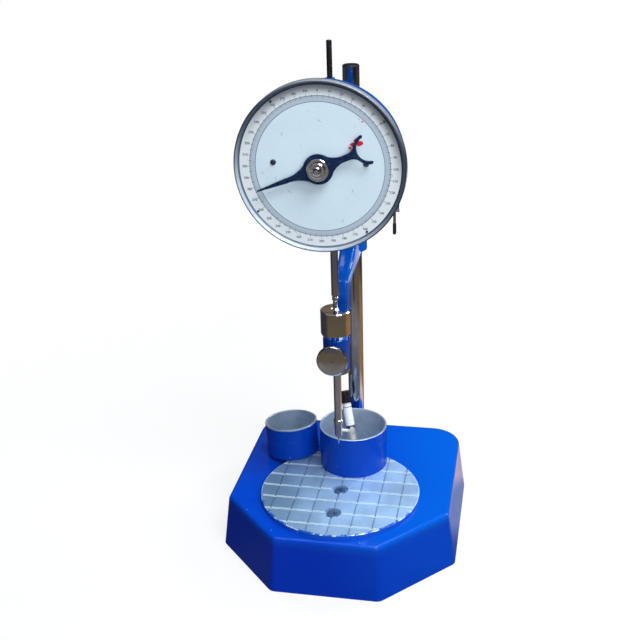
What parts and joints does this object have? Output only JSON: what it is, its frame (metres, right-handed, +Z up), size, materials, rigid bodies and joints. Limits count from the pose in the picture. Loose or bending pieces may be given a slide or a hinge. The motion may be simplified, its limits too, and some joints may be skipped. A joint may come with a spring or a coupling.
{
  "type": "laboratory penetrometer",
  "caption": "Bench penetrometer: cast base with grooved bed, column, clamped head, open dial with rack-driven pointer, released plunger and needle, sample cups and vial",
  "frame": {"origin": "underside of the base, at the middle of the base's outline", "axes": "+Z up along the column; -Y to the front, towards the reader of the dial; +X to the reader's right"},
  "size_m": [0.2508, 0.2648, 0.5329],
  "materials": {
    "blue_paint": "gloss enamel on a casting",
    "cup_paint": "gloss enamel outside, bare metal inside",
    "bed_steel": "machined",
    "chrome": "polished plating",
    "steel": "bright turned",
    "dark_steel": "blackened",
    "bezel_metal": "satin",
    "dial_white": "matt enamel, printed",
    "blued_steel": "blued",
    "black_rod": "black satin",
    "black_plastic": "moulded",
    "bushing": "turned",
    "clear_glass": "clear",
    "label_stock": "printed film"
  },
  "bodies": {
    "base": {"base_casting": "blue_paint", "bed_plate": "bed_steel", "bed_screws": "dark_steel", "column": "chrome", "column_washer": "steel", "column_nut": "steel"},
    "sleeve": {"column_bush": "bushing"},
    "head": {"head_casting": "blue_paint", "case_screws": "dark_steel", "clutch_barrel": "chrome", "clutch_cover": "steel", "cover_screws": "dark_steel", "button_spring": "steel", "dial_case": "blue_paint", "bezel": "bezel_metal", "dial_plate": "dial_white", "dial_screws": "dark_steel", "front_arbor_bush": "bushing", "rear_arbor_bush": "bushing", "top_rod_bush": "bushing", "bottom_rod_bush": "bushing"},
    "clamp": {"clamp_screw": "steel"},
    "bar": {"tommy_bar": "steel", "tommy_bar_ends": "black_plastic"},
    "rack": {"rack_rod": "chrome", "rod_top": "black_rod"},
    "arbor": {"arbor": "steel", "pinion": "bushing"},
    "pointer": {"pointer": "blued_steel", "hub_nut": "chrome"},
    "button": {"release_button": "chrome", "clutch_jaw": "steel"},
    "plunger": {"plunger_spindle": "chrome", "needle_chuck": "chrome"},
    "thumbscrew": {"chuck_thumbscrew": "chrome"},
    "needle": {"needle": "steel"},
    "large_cup": {"large_cup": "cup_paint"},
    "small_cup": {"small_cup": "cup_paint"},
    "vial": {"vial_tube": "clear_glass", "vial_label": "label_stock", "vial_needle": "steel"},
    "vial_cap": {"vial_cap": "black_plastic"}
  },
  "joints": [
    {"name": "head_slide", "type": "slide", "parent": "base", "child": "sleeve", "axis": [0, 0, 1], "range_m": [-0.015, 0.115]},
    {"name": "head_swivel", "type": "hinge", "parent": "sleeve", "child": "head", "pos_m": [0, 0.0808, 0.329], "axis": [0, 0, 1], "range_deg": [-180, 180]},
    {"name": "clamp_turn", "type": "hinge", "parent": "head", "child": "clamp", "pos_m": [0.03, 0.0808, 0.346], "axis": [1, 0, 0], "range_deg": [-20, 340]},
    {"name": "tommy_slide", "type": "slide", "parent": "clamp", "child": "bar", "axis": [0, 0, 1], "range_m": [0, 0.0126]},
    {"name": "rack_slide", "type": "slide", "parent": "head", "child": "rack", "axis": [0, 0, 1], "range_m": [-0.0004, 0.04]},
    {"name": "arbor_turn", "type": "hinge", "parent": "head", "child": "arbor", "pos_m": [-0.00873, -0.034, 0.4206], "axis": [0, 1, 0], "range_deg": [-361, 4]},
    {"name": "pointer_set", "type": "hinge", "parent": "arbor", "child": "pointer", "pos_m": [-0.00873, -0.056, 0.4206], "axis": [0, 1, 0], "continuous": true},
    {"name": "button_push", "type": "slide", "parent": "head", "child": "button", "axis": [0, 1, 0], "range_m": [0, 0.003], "stiffness_N_per_m": 1300, "springref_m": -0.002, "deforming": ["button_spring"]},
    {"name": "plunger_drop", "type": "slide", "parent": "head", "child": "plunger", "axis": [0, 0, 1], "range_m": [-0.04, 0]},
    {"name": "thumbscrew_turn", "type": "hinge", "parent": "plunger", "child": "thumbscrew", "pos_m": [0.008, -0.034, 0.137], "axis": [1, 0, 0], "range_deg": [0, 720]},
    {"name": "needle_draw", "type": "slide", "parent": "plunger", "child": "needle", "axis": [0, 0, -1], "range_m": [0, 0.02]},
    {"name": "large_cup_lift", "type": "slide", "parent": "base", "child": "large_cup", "axis": [0, 0, 1], "range_m": [0, 0.08]},
    {"name": "small_cup_lift", "type": "slide", "parent": "base", "child": "small_cup", "axis": [0, 0, 1], "range_m": [0, 0.08]},
    {"name": "vial_lift", "type": "slide", "parent": "large_cup", "child": "vial", "axis": [-0.218, 0.336, 0.9163], "range_m": [0, 0.05]},
    {"name": "cap_pull", "type": "slide", "parent": "vial", "child": "vial_cap", "axis": [-0.218, 0.336, 0.9163], "range_m": [0, 0.015]}
  ],
  "couplings": [
    {"joint": "arbor_turn", "follows": "rack_slide", "rad_per_m": -157.08}
  ]
}
